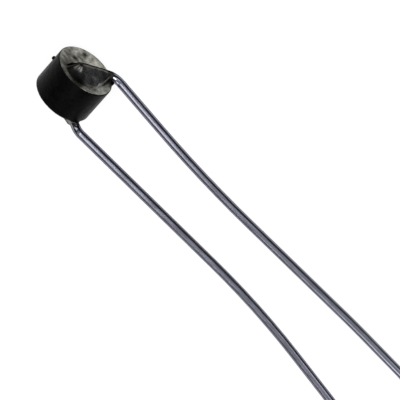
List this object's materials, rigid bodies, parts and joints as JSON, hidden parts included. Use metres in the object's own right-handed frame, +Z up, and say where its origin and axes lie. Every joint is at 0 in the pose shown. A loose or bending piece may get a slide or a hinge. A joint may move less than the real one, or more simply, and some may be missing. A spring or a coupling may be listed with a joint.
{
  "type": "ntc thermistor",
  "caption": "Bare black ceramic disc pellet with silvered, soldered faces and long tinned wire leads, for sensing temperature.",
  "frame": {"origin": "on the floor, under the middle of the whole part as it lies", "axes": "+X from the pellet along the leads, +Y to the side that the front face looks to, +Z up"},
  "size_m": [0.0416, 0.0082, 0.0041],
  "materials": {
    "ceramic": "satin",
    "silver_film": "satin",
    "solder": "gloss",
    "tinned_wire": "satin"
  },
  "bodies": {
    "root": {"ceramic_pellet": "ceramic", "front_electrode": "silver_film", "back_electrode": "silver_film", "front_solder": "solder", "back_solder": "solder", "front_lead": "tinned_wire", "back_lead": "tinned_wire"}
  },
  "joints": []
}
